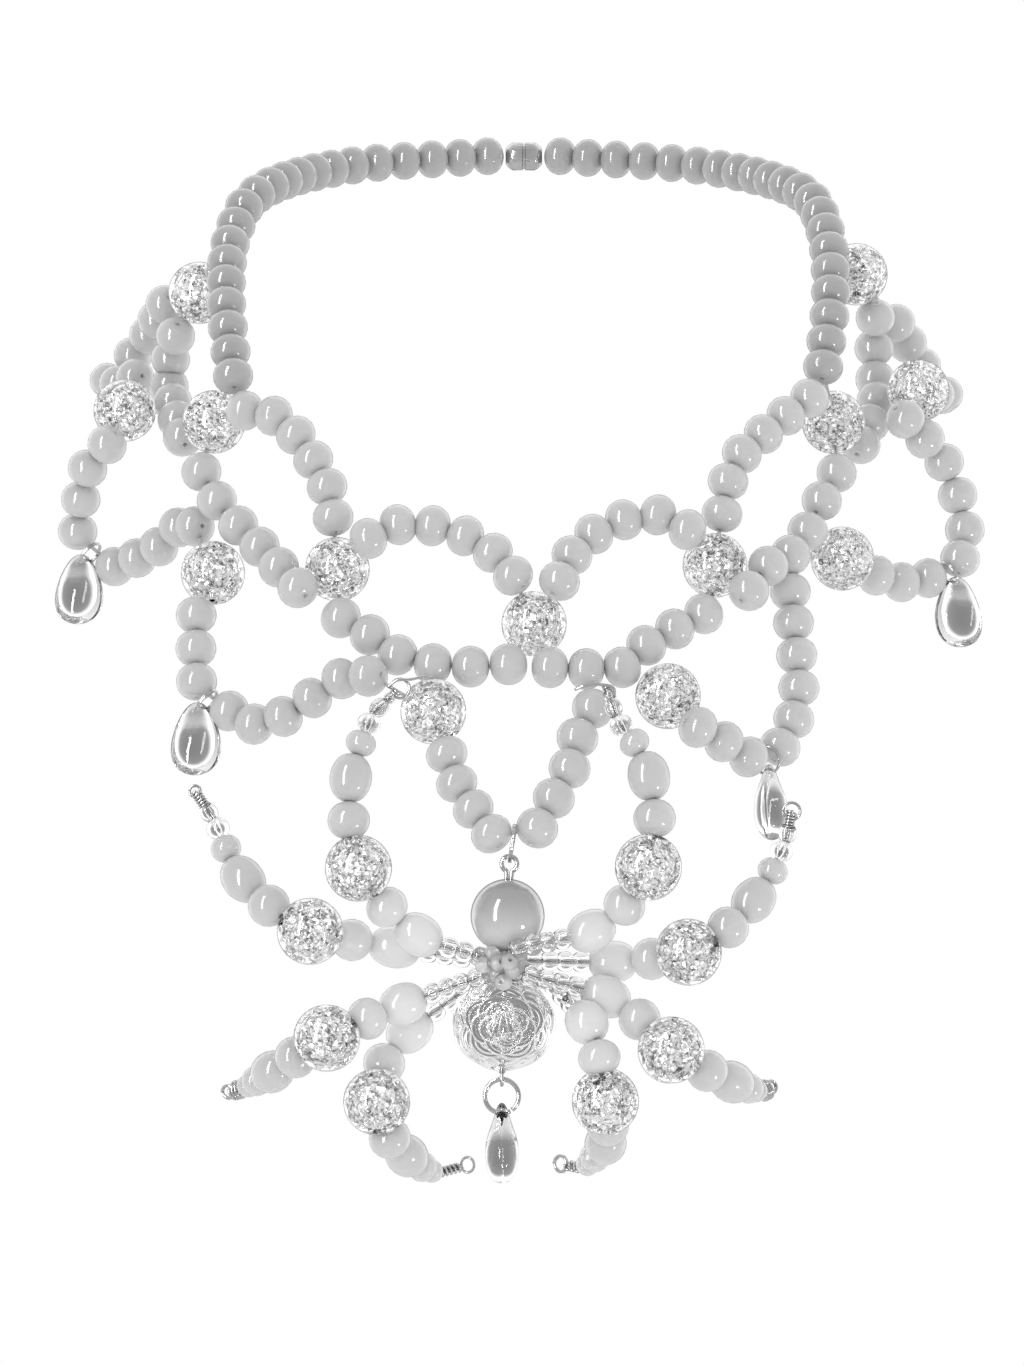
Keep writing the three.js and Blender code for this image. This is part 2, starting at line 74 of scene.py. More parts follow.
# %% A blank that collects points and faces
class Blank:
    """Points and faces of one piece, in millimetres."""

    def __init__(self):
        self.points, self.faces, self.finishes, self.smooth = [], [], [], []
        self.count = 0

    def add(self, points, faces, finish, smooth=True):
        self.points.append(np.asarray(points, float))
        self.faces += [tuple(int(v) + self.count for v in face) for face in faces]
        self.finishes += [finish] * len(faces)
        self.smooth += [smooth] * len(faces)
        self.count += len(points)

    def make(self, name, body, nodes, sharp=None):
        """The object: it moves with a body, stands for CAD nodes and takes a slot's finish."""
        mesh = bpy.data.meshes.new(name)
        mesh.from_pydata((np.concatenate(self.points) * MM).tolist(), [], self.faces)
        used = sorted(set(self.finishes))
        for finish in used:
            mesh.materials.append(FINISHES[finish])
        mesh.polygons.foreach_set("material_index", [used.index(f) for f in self.finishes])
        mesh.polygons.foreach_set("use_smooth", self.smooth)
        if sharp:
            mesh.set_sharp_from_angle(angle=math.radians(sharp))
        mesh.validate()
        piece = bpy.data.objects.new(name, mesh)
        bpy.context.scene.collection.objects.link(piece)
        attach(piece, body)
        if nodes:
            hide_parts(*nodes)
        return piece


def frame_at(centre, along, toward=(0, 0, 1)):
    """A 3x3 matrix whose third column is along, and the centre."""
    along = np.asarray(along, float) / np.linalg.norm(along)
    toward = np.asarray(toward, float)
    if abs(along @ toward) > 0.95 * np.linalg.norm(toward):
        toward = np.array([1.0, 0.0, 0.0]) if abs(along[0]) < 0.9 else np.array([0.0, 1.0, 0.0])
    side = np.cross(toward, along)
    side /= np.linalg.norm(side)
    return np.stack([side, np.cross(along, side), along], axis=1), np.asarray(centre, float)


def placed(points, where):
    turn, centre = where
    return np.asarray(points) @ turn.T + centre


def grid_faces(rows, columns, close_rows=False, close_columns=True):
    faces = []
    for row in range(rows if close_rows else rows - 1):
        after = (row + 1) % rows
        for column in range(columns if close_columns else columns - 1):
            near = (column + 1) % columns
            faces.append((row * columns + column, row * columns + near,
                          after * columns + near, after * columns + column))
    return faces


def turned(profile, sides):
    """A closed profile of (radius, height) turned about the z axis, like a ring or a bored bead."""
    angles = np.linspace(0, 2 * math.pi, sides, endpoint=False)
    radius, height = np.array(profile, float).T
    points = np.stack([np.outer(radius, np.cos(angles)), np.outer(radius, np.sin(angles)),
                       np.repeat(height[:, None], sides, 1)], axis=2).reshape(-1, 3)
    return points, grid_faces(len(profile), sides, close_rows=True)


# %% [markdown]
# ## Wire and thread
# A wire is a round section swept along a path. The section is carried from point to point without
# twisting, so a coil of many turns stays even, and flat caps close the cut ends.


# %% A swept wire
def wire(path, radius, sides=8, closed=False):
    path = np.asarray(path, float)
    count = len(path)
    if closed:
        ways = np.roll(path, -1, 0) - np.roll(path, 1, 0)
    else:
        ways = np.gradient(path, axis=0)
    ways /= np.linalg.norm(ways, axis=1)[:, None]
    first, _ = frame_at(path[0], ways[0])
    side = first[:, 0]
    radii = np.broadcast_to(radius, (count,))
    sides_at = []
    for way in ways:
        side = side - way * (side @ way)
        side /= np.linalg.norm(side)
        sides_at.append(side)
    sides_at = np.array(sides_at)
    turn = 0.0
    if closed:
        last = sides_at[-1] - ways[0] * (sides_at[-1] @ ways[0])
        turn = math.atan2(np.cross(sides_at[0], last) @ ways[0], sides_at[0] @ last)
    others = np.cross(ways, sides_at)
    angles = np.linspace(0, 2 * math.pi, sides, endpoint=False)
    points = []
    for place in range(count):
        here = angles - turn * place / count
        ring = np.outer(np.cos(here), sides_at[place]) + np.outer(np.sin(here), others[place])
        points.append(path[place] + radii[place] * ring)
    faces = grid_faces(count, sides, close_rows=closed)
    if not closed:
        faces += [tuple(range(sides))[::-1], tuple(range((count - 1) * sides, count * sides))]
    return np.concatenate(points), faces


def circle(where, radius, start=0.0, turns=1.0, rise=0.0, steps=28):
    """Points on a circle, or a coil that rises along its axis."""
    angles = start + 2 * math.pi * turns * np.linspace(0, 1, max(8, round(steps * abs(turns)) + 1))
    heights = rise * np.linspace(-0.5, 0.5, len(angles))
    return placed(np.stack([radius * np.cos(angles), radius * np.sin(angles), heights], 1), where)


# %% [markdown]
# ## Shader maths
# A wrapped socket lets a material be written as an expression: noise * 0.5 + 1 adds its own Math
# nodes. Colours are blended by Mix nodes, and what varies over a surface only feeds the inputs
# that can be baked into a picture.


# %% Sockets as values
class Value:
    def __init__(self, tree, socket):
        self.tree, self.socket = tree, socket

    def _maths(self, operation, first, second):
        return self.tree.node("ShaderNodeMath", {"operation": operation}, {0: first, 1: second})

    def __add__(self, other):
        return self._maths("ADD", self, other)

    def __sub__(self, other):
        return self._maths("SUBTRACT", self, other)

    def __rsub__(self, other):
        return self._maths("SUBTRACT", other, self)

    def __mul__(self, other):
        return self._maths("MULTIPLY", self, other)

    __radd__ = __add__
    __rmul__ = __mul__


class Tree:
    """A material's nodes: node() adds one, sets it up, and returns its first output."""

    def __init__(self, owner):
        self.nodes, self.links = owner.node_tree.nodes, owner.node_tree.links

    def node(self, kind, settings=None, sockets=None, output=0):
        made = self.nodes.new(kind)
        for name, setting in (settings or {}).items():
            if name == "stops":
                ramp = made.color_ramp
                while len(ramp.elements) < len(setting):
                    ramp.elements.new(0.5)
                for element, (place, shade) in zip(ramp.elements, setting):
                    element.position, element.color = place, (shade, shade, shade, 1)
            else:
                setattr(made, name, setting)
        for name, given in (sockets or {}).items():
            if isinstance(given, Value):
                self.links.new(given.socket, made.inputs[name])
            else:
                made.inputs[name].default_value = given
        return Value(self, made.outputs[output])


def finish_of(name, constants, varying=None):
    """A Principled material: constants go on its own sockets, varying(tree) gives the linked ones."""
    material = bpy.data.materials.new(name)
    material.use_nodes = True
    tree = Tree(material)
    surface = tree.nodes["Principled BSDF"]
    for socket, given in constants.items():
        surface.inputs[socket].default_value = given
    for socket, given in (varying(tree) if varying else {}).items():
        tree.links.new(given.socket, surface.inputs[socket])
    return material


def grey(tree, dark, light, amount):
    """A colour between two greys."""
    return tree.node("ShaderNodeMix", {"data_type": "RGBA"},
                     {"Factor": amount, "A": (dark, dark, dark, 1), "B": (light, light, light, 1)}, 2)


def placed_noise(tree, size_mm, detail=2.0, roughness=0.5, stretch=None):
    """Noise whose blots are about size_mm across."""
    where = tree.node("ShaderNodeTexCoord", output=3)
    if stretch:
        where = tree.node("ShaderNodeVectorMath", {"operation": "MULTIPLY"}, {0: where, 1: stretch})
    return tree.node("ShaderNodeTexNoise", {}, {"Vector": where, "Scale": 1 / (size_mm * MM),
                                                "Detail": detail, "Roughness": roughness})


# %% [markdown]
# ## Glass and silver
# Milky glass scatters light under its surface, so it is a soft body with a hard polish on top.
# Clear glass is real refraction: the dark and bright lines in it are the room, bent. Crazed glass
# is a clear shell round a heap of mirror-like cracks. Silver wire is polished, with faint drawing
# marks.


# %% Finishes
def milky(name, dark, light):
    """Milky glass between two greys; its darker and paler copies paint shade and light onto the beads.
    """

    def changes(tree):
        cloud = placed_noise(tree, 5.0, detail=3.0)
        speck = placed_noise(tree, 0.9, detail=1.0)
        swirl = placed_noise(tree, 2.2, detail=2.0, stretch=(1.0, 1.0, 2.5))
        tone = grey(tree, dark, light, cloud * 0.7 + swirl * 0.3)
        bump = tree.node("ShaderNodeBump", {},
                         {"Strength": 0.05, "Distance": 0.02 * MM, "Height": speck})
        return {"Base Color": tone, "Roughness": swirl * 0.05 + 0.11, "Normal": bump}

    return finish_of(name, {"IOR": 1.6, "Subsurface Weight": 0.7, "Subsurface Scale": 0.005,
                            "Subsurface Radius": (1, 1, 1)}, changes)


def cats_eye_changes(tree):
    fibres = placed_noise(tree, 0.35, detail=3.0, stretch=(1.0, 1.0, 0.04))
    cloud = placed_noise(tree, 6.0)
    where = tree.node("ShaderNodeTexCoord", output=3)
    height = tree.node("ShaderNodeSeparateXYZ", {}, {0: where}, 2)
    fade = tree.node("ShaderNodeMapRange", {"interpolation_type": "SMOOTHSTEP"},
                     {"Value": height, "From Min": -115.5 * MM, "From Max": -128.5 * MM})
    # Painted shade and painted light: the head is made darker at the top and paler at the bottom. The
    # fibres and cloud are the glass's own grain.
    tone = grey(tree, 0.33, 0.80, fade * 0.75 + fibres * 0.15 + cloud * 0.1)
    return {"Base Color": tone, "Roughness": fibres * 0.06 + 0.10}


def crack_changes(tree):
    fine = placed_noise(tree, 0.6, detail=4.0, roughness=0.7)
    patch = placed_noise(tree, 2.4, detail=2.0)
    crack_speckle = fine * 0.72 + patch * 0.28
    # The dark-to-bright ramp paints glitter into the crack colour: dark and bright specks of painted
    # reflection over the real glints of the facets and flakes. The speckle's bumps and roughness are
    # real.
    dark_to_bright = [(0.38, 0.15), (0.45, 0.68), (0.52, 0.97)]
    painted_glitter = tree.node("ShaderNodeValToRGB", {"stops": dark_to_bright}, {0: crack_speckle})
    bump = tree.node("ShaderNodeBump", {}, {"Strength": 0.5, "Distance": 0.12 * MM, "Height": crack_speckle})
    return {"Base Color": painted_glitter, "Roughness": crack_speckle * 0.3 + 0.05, "Normal": bump}


def clear_changes(tree):
    ripple = placed_noise(tree, 1.6, detail=2.0, stretch=(1.0, 1.0, 0.35))
    bump = tree.node("ShaderNodeBump", {}, {"Strength": 0.25, "Distance": 0.08 * MM, "Height": ripple})
    return {"Roughness": ripple * 0.02, "Normal": bump}


def silver_changes(tree):
    drawn = placed_noise(tree, 0.12, detail=3.0, stretch=(1.0, 1.0, 0.2))
    tarnish = placed_noise(tree, 2.5)
    return {"Base Color": grey(tree, 0.36, 0.62, tarnish), "Roughness": drawn * 0.12 + 0.06}


def thread_changes(tree):
    twist = placed_noise(tree, 0.4, detail=2.0)
    return {"Base Color": grey(tree, 0.45, 0.8, twist), "Roughness": twist * 0.2 + 0.1}


FINISHES = {
    "milky": milky("milky_glass", 0.59, 0.73),
    # The deep copy is painted shade for the neck beads further back, and the light and bright copies
    # are painted light for the leg beads nearest the spider's middle.
    "milky_deep": milky("milky_glass_painted_shade", 0.42, 0.56),
    "milky_light": milky("milky_glass_painted_lit", 0.72, 0.84),
    "milky_bright": milky("milky_glass_painted_most_lit", 0.84, 0.96),
    "cats_eye": finish_of("cats_eye_glass", {"IOR": 1.6, "Coat Weight": 1.0, "Coat Roughness": 0.02},
                          cats_eye_changes),
    "crack": finish_of("crack_faces", {"Metallic": 1.0}, crack_changes),
    "shell": finish_of("crackle_shell", {"Transmission Weight": 1.0, "IOR": 1.5,
                                         "Base Color": (0.97, 0.97, 0.97, 1)}, clear_changes),
    "clear": finish_of("clear_glass", {"Transmission Weight": 1.0, "IOR": 1.5,
                                       "Base Color": (0.86, 0.86, 0.86, 1)}, clear_changes),
    "seed": finish_of("seed_glass", {"Transmission Weight": 1.0, "IOR": 1.5,
                                     "Base Color": (0.97, 0.97, 0.97, 1)}, clear_changes),
    # The pale seeds are clear glass made half white: painted light, for the haze round the spider's
    # waist.
    "pale_seed": finish_of("pale_seed_glass", {"Transmission Weight": 0.55, "IOR": 1.5,
                                               "Base Color": (0.97, 0.97, 0.97, 1)}, clear_changes),
    "silver": finish_of("silver_wire", {"Metallic": 1.0}, silver_changes),
    "thread": finish_of("clear_thread", {"IOR": 1.5}, thread_changes),
}
print("finishes:", ", ".join(FINISHES))

# %% [markdown]
# ## Where every bead sits
# Threads of a real choker run in soft curves from one crackle bead to the next. Each route is a
# few points that a smooth line passes through, and beads of one size sit evenly along it. Where a
# route gives no depth, the thread lies on the throat, chest and shoulders.

# %% Routes of the threads and wires
CRACKLES = {  # centre of each bead: x, y, z
    "crackle_upper_centre": (1.8, -66.5, -64.8),
    "crackle_upper_left": (-37.6, -57.5, -53.8),
    "crackle_upper_right": (38.1, -57, -53),
    "crackle_upper_left_side": (-63.8, -30, -23),
    "crackle_upper_right_side": (63.5, -28, -23),
    "crackle_upper_left_back": (-68, -7.8, 5),
    "crackle_upper_right_back": (69.4, -8.8, 8.8),
    "crackle_lower_left": (-18.1, -77.2, -82.2),
    "crackle_lower_right": (28.2, -74.5, -79.2),
    "crackle_lower_left_side": (-63.2, -45, -54.3),
    "crackle_lower_right_side": (64.6, -40.5, -51.3),
    "crackle_lower_left_back": (-83.2, -13.5, -19.9),
    "crackle_lower_right_back": (81.8, -15.5, -15.9),
}
STRANDS = {  # beads, what hangs after the last one, and the thread's route in x, z and, off the skin, y
    "neck_strand_left": (21, None, [
        (-59.5, -14, -37.5), (-61.6, 3, -24), (-61, 17, -9),
        (-55.4, 27.6, 6), (-38, 35.5, 36), (-8, 39, 51)]),
    "neck_strand_right": (21, None, [
        (61, -12, -35), (63.2, 4, -24), (62.6, 18.6, -9),
        (57.6, 28, 8), (39, 35.5, 37), (8, 39, 51)]),
    "upper_scallop_left": (6, None, [
        (-57, -21.2, -40.5), (-49, -23.6, -45),
        (-40.8, -34.8, -52), (-38.5, -43.4, -56)]),
    "upper_scallop_centre_left": (6, None, [
        (-31.2, -47.8, -64.5), (-22.6, -44.6, -61.5),
        (-9.4, -48.4, -64), (-2.4, -55.3, -69)]),
    "upper_scallop_centre_right": (6, None, [
        (6.8, -56.4, -71), (11.8, -48.2, -64.6),
        (24.2, -42.8, -60.5), (32.4, -46, -63.2)]),
    "upper_scallop_right": (6, None, [
        (39.6, -42.6, -54.6), (42.5, -32, -50.8),
        (52, -23.2, -43.5), (58, -18.6, -39.5)]),
    "middle_scallop_left_back": (6, None, [
        (-73, -4, -7.5), (-75, -11.7, 1),
        (-73.4, -18.5, -9), (-70.7, -25.7, -21)]),
    "middle_scallop_left": (6, None, [
        (-66.1, -33.4, -34.8), (-61.5, -41.2),
        (-55.1, -47.5), (-45.3, -57.6, -63.4)]),
    "middle_scallop_centre_left": (6, None, [
        (-36.7, -63.6), (-30.2, -67.4), (-23, -72),
        (-10.1, -73.4), (-3.3, -72.9)]),
    "middle_scallop_centre_right": (6, None, [
        (4.9, -73.5), (18.8, -73.6),
        (24.5, -68.8), (35.6, -62.8)]),
    "middle_scallop_right": (6, None, [
        (44.6, -58.2, -64.2), (49.5, -52.5, -57.5), (55.5, -49.6),
        (58.2, -43.5), (63.7, -33.7, -36)]),
    "middle_scallop_right_back": (6, None, [
        (69.6, -27.2, -19.5), (73.4, -18.5, -9),
        (73.6, -9, 1), (73.6, 0, -4.5)]),
    "lower_scallop_left_back": (7, None, [
        (-75.6, 3, -1), (-81.6, -4.6, 16),
        (-89.4, -13, 19), (-82.4, -12, 6.8)]),
    "lower_strand_left_side_down": (4, "left_side", [
        (-86.4, -27.3, -20.5), (-91.2, -33.2, -16.5),
        (-93.2, -45, -11)]),
    "lower_strand_left_side_up": (5, None, [
        (-85.2, -52.4, -15.2), (-76.5, -49.2, -24),
        (-71, -44.6, -29.5), (-67.4, -44.6, -35.5)]),
    "lower_strand_left_down": (3, "left", [
        (-66.3, -62.9, -50.2), (-66.2, -69.6, -53),
        (-65.9, -76.3, -56)]),
    "lower_strand_left_up": (6, None, [
        (-59.2, -82.2, -59.2), (-53.8, -84.8, -63.5), (-46.8, -82.6, -67.5),
        (-36.6, -75.8, -70.5), (-31, -75.2, -75)]),
    "v_strand_left": (4, "pendant", [
        (-15.4, -90.6, -82.5), (-12.9, -97.2, -86), (-6.6, -105.9, -91.6)]),
    "v_strand_right": (5, None, [
        (2.3, -104.8, -91.4), (8.8, -93, -84.5),
        (10.4, -86.9, -80.5), (13.3, -81.6, -77.3)]),
    "lower_strand_right_down": (3, "right", [
        (33.9, -85.3, -81), (39.2, -88.2, -77.5),
        (44.2, -91.2, -74)]),
    "lower_strand_right_up": (6, None, [
        (50.6, -89.3, -68), (53.6, -83.6, -64.5), (54.7, -77.5, -61.5),
        (53.9, -64.7, -56.2), (53.4, -58.2, -53)]),
    "lower_strand_right_side_down": (3, "right_side", [
        (72, -54.6, -33.4), (77.4, -55.9, -29.3),
        (83.2, -55, -25.5)]),
    "lower_strand_right_side_up": (6, None, [
        (90, -50.9, -22), (91.2, -43.5, -17.5),
        (87.2, -31, -17), (78.4, -22.2, -25.5)]),
    "lower_scallop_right_back": (6, None, [
        (78.6, -0.5, 5.5), (84.6, -8.6, 17),
        (90.5, -16.5, 17.5), (83, -12.6, 6.5)]),
}
LEGS = {  # seed beads, foot, and the wire's route in x, z, y
    "leg_left_1": (3, (-25.5, -78.7, -90), [
        (-8.8, -129.8, -93.5), (-21.4, -125, -93.5), (-32.7, -111.6, -97),
        (-33.9, -95.1, -94), (-30.4, -84.4, -91.5)]),
    "leg_left_2": (4, (-64.4, -98.6, -80), [
        (-9, -130.6, -88.3), (-29.2, -127.6, -85.5), (-44, -123.8, -94.5),
        (-55.5, -114.5, -86), (-60.3, -105.2, -81)]),
    "leg_left_3": (4, (-57.8, -157.2, -74), [
        (-9.6, -133.9, -95), (-24.2, -139.2, -92), (-37.2, -144.6, -98),
        (-48.9, -152.2, -87), (-54.6, -156, -77)]),
    "leg_left_4": (4, (-12.4, -172.4, -70), [
        (-9.8, -134.9, -86.8), (-25.9, -148, -87), (-28.6, -160.2, -96),
        (-22.8, -169.5, -84), (-18.4, -173, -75)]),
    "leg_right_1": (4, (16.6, -79.8, -91), [
        (-1.4, -127.9, -99), (14.9, -123.6, -92), (24.4, -110.4, -98),
        (23.6, -93.1, -94.5), (18.6, -84.8, -92.5)]),
    "leg_right_2": (4, (51.8, -103, -86), [
        (1.6, -130.8, -88.2), (19.2, -131, -85), (34.1, -127.7, -96),
        (45.6, -117.6, -89), (50, -109.4, -86.5)]),
    "leg_right_3": (4, (48, -156.8, -73), [
        (1, -133.2, -95.6), (17.6, -138.6, -89.4), (28.9, -148.1, -98),
        (40.7, -154.7, -86), (45.6, -157, -76)]),
    "leg_right_4": (3, (8, -172.2, -69), [
        (5.6, -135.8, -86.6), (12.8, -144, -95.5), (15.3, -156.3, -98),
        (15.9, -166.2, -84), (12.2, -171.8, -74)]),
}

# %% Lines through the routes
SKIN = {"throat": 50.5, "slope": 0.15, "swell": 0.0022, "shoulder": 44, "half_width": 84, "power": 2.7}


def skin_depth(x, z):
    front = SKIN["throat"] - SKIN["slope"] * z + SKIN["swell"] * z * z
    return SKIN["shoulder"] * (abs(x) / SKIN["half_width"]) ** SKIN["power"] - front


def spot(x, z, y=None):
    return np.array([x, skin_depth(x, z) if y is None else y, z], float)


class Line:
    """A smooth line through points, measured by its length."""

    def __init__(self, points, samples=120):
        points = np.array(points, float)
        ends = 2 * points[[0, -1]] - points[[1, -2]]
        p = np.concatenate([ends[:1], points, ends[1:]])
        t = np.linspace(0, 1, samples, endpoint=False)[:, None]
        spans = []
        for k in range(1, len(p) - 2):
            start, end = (p[k + 1] - p[k - 1]) / 2, (p[k + 2] - p[k]) / 2
            rise = p[k + 1] - p[k]
            spans.append(p[k] + start * t + (3 * rise - 2 * start - end) * t**2
                         + (start + end - 2 * rise) * t**3)
        self.points = np.concatenate([*spans, points[-1:]])
        steps = np.linalg.norm(np.diff(self.points, axis=0), axis=1)
        self.lengths = np.concatenate([[0], np.cumsum(steps)])
        self.length = self.lengths[-1]

    def at(self, distance):
        return np.array([np.interp(distance, self.lengths, self.points[:, k]) for k in range(3)]).T

    def way(self, distance, step=0.05):
        ahead = self.at(min(distance + step, self.length)) - self.at(max(distance - step, 0))
        return ahead / np.linalg.norm(ahead)


PEARL = {"radius": 4.12, "half": 3.68}


def pearls(name):
    """Centre, way along the thread and half length of each bead of a strand."""
    count, _, route = STRANDS[name]
    line = Line([spot(*p) for p in route])
    pitch = line.length / (count - 1)
    half = min(PEARL["half"], pitch / 2)
    return [(line.at(k * pitch), line.way(k * pitch), half) for k in range(count)]


beads_of = {name: pearls(name) for name in STRANDS}
print("round beads on the strands:", sum(len(beads) for beads in beads_of.values()))

# %% [markdown]
# ## Round milky beads on a thread
# A pressed bead is a ball, slightly flattened where it was bored, with a small mouth at each end
# of the hole. Turning a closed profile gives the hole as well as the outside, so light and thread
# can go through. The thread is doubled clear line that shows between beads.

# %% Strands
HOLE = 0.45
LIP = 0.25  # the round edge of the hole
THREAD = 0.2
FULLNESS, LEG_FULLNESS = 0.86, 0.88  # 1 is a plain ball, less is fuller at the shoulders


def bored(radius, half, hole=HOLE, fullness=1.0, steps=15):
    """The closed profile of a bored bead: outside from end to end, then back through the hole."""
    last = math.acos(min(1.0, (hole + LIP) / radius) ** (1 / fullness))
    outside = [(radius * math.cos(a) ** fullness, half * math.sin(a) / math.sin(last))
               for a in np.linspace(-last, last, steps)]
    mouth = [(hole + 0.06, 0.975 * half), (hole, 0.9 * half), (hole, 0.0), (hole, -0.9 * half),
             (hole + 0.06, -0.975 * half)]
    return outside + mouth


def add_bead(blank, centre, way, radius, half, finish, hole=HOLE, fullness=1.0, sides=24, steps=15):
    points, faces = turned(bored(radius, half, hole, fullness, steps), sides)
    blank.add(placed(points, frame_at(centre, way)), faces, finish)


def add_thread(blank, path, radius=THREAD, finish="thread"):
    """Two lines side by side."""
    path = np.asarray(path, float)
    ways = np.gradient(path, axis=0)
    side = np.cross(ways, (0, 1, 0))
    side /= np.linalg.norm(side, axis=1)[:, None] + 1e-9
    for way in (-1, 1):
        blank.add(*wire(path + way * radius * side, radius, 6), finish)


def reach(point, limit):
    """The surface of the crackle bead near a strand's end, just inside it, or None."""
    centres = [np.array(c, float) for c in CRACKLES.values()]
    near = min(centres, key=lambda c: np.linalg.norm(c - point))
    gap = np.linalg.norm(near - point)
    if gap > limit:
        return None
    return near + (point - near) / gap * (CRACKLE - 0.5)


CRACKLE = 6.5
NECK = ("neck_strand_left", "neck_strand_right")
BARE, BARE_BACK = 15, 24  # behind the shoulders the thread runs bare for longer
order = list(STRANDS)
for name in order:
    count, hung, _ = STRANDS[name]
    beads = beads_of[name]
    blank = Blank()
    for centre, way, half in beads:
        # The neck strands take the darker copy of the milky glass: painted shade for beads that lie
        # further from the light.
        add_bead(blank, centre, way, PEARL["radius"], half, "milky_deep" if name in NECK else "milky",
                 fullness=FULLNESS)
    path = [centre for centre, _, _ in beads]
    bare = BARE_BACK if name.endswith("_back") else BARE
    start, end = reach(path[0], bare), reach(path[-1], bare)
    if start is not None:
        path.insert(0, start)
    if hung:
        path.append(beads_of[order[order.index(name) + 1]][0][0])
    elif end is not None:
        path.append(end)
    line = Line(path, 8)
    add_thread(blank, line.at(np.linspace(0, line.length, 6 * count)))
    blank.make(f"beads_{name}", "net", [name])
print("strands made:", len(order))

# %% [markdown]
# ## Crackle beads
# Hot glass dipped in water cracks all through but stays whole. Inside the smooth shell the cracks
# are countless small mirrors at every angle. Here the shell is real refracting glass, and in it lie
# a crumpled core and a cloud of thin flakes, so much of the glitter comes from shapes. The dark and
# bright specks painted into the cracks' colour add painted reflection to it.

# %% Crackle beads
import bmesh

ball = bmesh.new()
bmesh.ops.create_icosphere(ball, subdivisions=4, radius=1)
BALL_POINTS = np.array([v.co for v in ball.verts])
BALL_FACES = [tuple(v.index for v in face.verts) for face in ball.faces]
ball.free()
CORE = 0.58
CLOUD = 0.66
FLAKES = 260


def flake(draw, place, size):
    """A thin closed flake: a rough pentagon with a low peak on each side."""
    way = draw.normal(size=3)
    angles = 2 * math.pi * np.arange(5) / 5 + draw.uniform(-0.3, 0.3, 5)
    reach_out = size * draw.uniform(0.6, 1.0, 5)
    rim = np.stack([reach_out * np.cos(angles), reach_out * np.sin(angles), np.zeros(5)], 1)
    points = np.concatenate([rim, [[0, 0, 0.05], [0, 0, -0.05]]])
    faces = [(k, (k + 1) % 5, 5) for k in range(5)] + [((k + 1) % 5, k, 6) for k in range(5)]
    return placed(points, frame_at(place, way)), faces


def add_crackle(blank, centre, axis, seed, radius=CRACKLE):
    draw = np.random.default_rng(seed)
    add_bead(blank, centre, axis, radius, radius * 0.985, "shell", 0.6, sides=40, steps=25)
    waves = np.sin(BALL_POINTS @ draw.normal(0, 7, (3, 4)) + draw.uniform(0, 6, 4)).mean(1)
    rough = 1 + 0.05 * draw.uniform(-1, 1, len(BALL_POINTS)) + 0.12 * waves
    core = BALL_POINTS + draw.normal(0, 0.014, BALL_POINTS.shape)
    blank.add(centre + core * (rough * CORE * radius)[:, None], BALL_FACES, "crack", smooth=False)
    for _ in range(FLAKES):
        way = draw.normal(size=3)
        place = centre + way / np.linalg.norm(way) * radius * draw.uniform(CORE, CLOUD)
        blank.add(*flake(draw, place, draw.uniform(0.16, 0.60)), "crack", smooth=False)


ends = [beads[k][0] for beads in beads_of.values() for k in (0, -1)]
for seed, (name, centre) in enumerate(CRACKLES.items()):
    centre = np.array(centre, float)
    near = sorted(ends, key=lambda e: np.linalg.norm(e - centre))[:4]
    ways = [(e - centre) / np.linalg.norm(e - centre) for e in near]
    _, i, j = min((a @ b, i, j) for i, a in enumerate(ways) for j, b in enumerate(ways) if i < j)
    blank = Blank()
    add_crackle(blank, centre, ways[i] - ways[j], seed)
    blank.make(f"bead_{name}", "net", [name])
print("crackle beads on the net:", len(CRACKLES))

# %% [markdown]
# ## Rings and glass drops
# Each drop hangs from a small double jump ring that runs through its hole. A drop is pressed in a
# mould: flat near the hole, full below, with the mould's thin seam round its edge. The hole is cut
# with a boolean, and the other drops are copies, since they came from one mould.

# %% Rings and drops
RING = {"net": (2.8, 0.4), "tail": (3.3, 0.5), "pendant": (3.6, 0.4)}
TURNS = {"right": (22, 42)}  # degrees that a ring and its drop have turned about the way they hang
GAP, HOLE_PLAY, THREAD_HELD = 0.3, 0.5, 0.4
DROP = {"length": 15.6, "width": 9.4, "thick": 6.2, "neck": 3.0, "hole": 1.25, "hole_held": 1.5,
        "rim": 1.0}
CHEST_LEAN = math.radians(24)
CHEST = np.array([0, -math.sin(CHEST_LEAN), -math.cos(CHEST_LEAN)])
DOWN, RIGHT, BACK = np.array([0, 0, -1.0]), np.array([1.0, 0, 0]), np.array([0, 1.0, 0])


def hang(point, along, hang_way, size, held=THREAD_HELD):
    """Centre and foot of a ring that hangs on a thread."""
    mid, thick = size
    way = hang_way - along * (hang_way @ along)
    way /= np.linalg.norm(way)
    centre = point + way * (mid - thick - held - GAP)
    return centre, centre + way * mid


def add_ring(blank, centre, along, size, start=0.4, turns=2):
    """A jump ring of one turn, or two turns of finer wire side by side, as a split ring."""
    mid, thick = size
    fine = thick if turns == 1 else 0.62 * thick
    path = circle(frame_at(centre, along), mid, start, turns - 0.02, 2.1 * fine * (turns - 1), 36)
    blank.add(*wire(path, fine, 10), "silver")


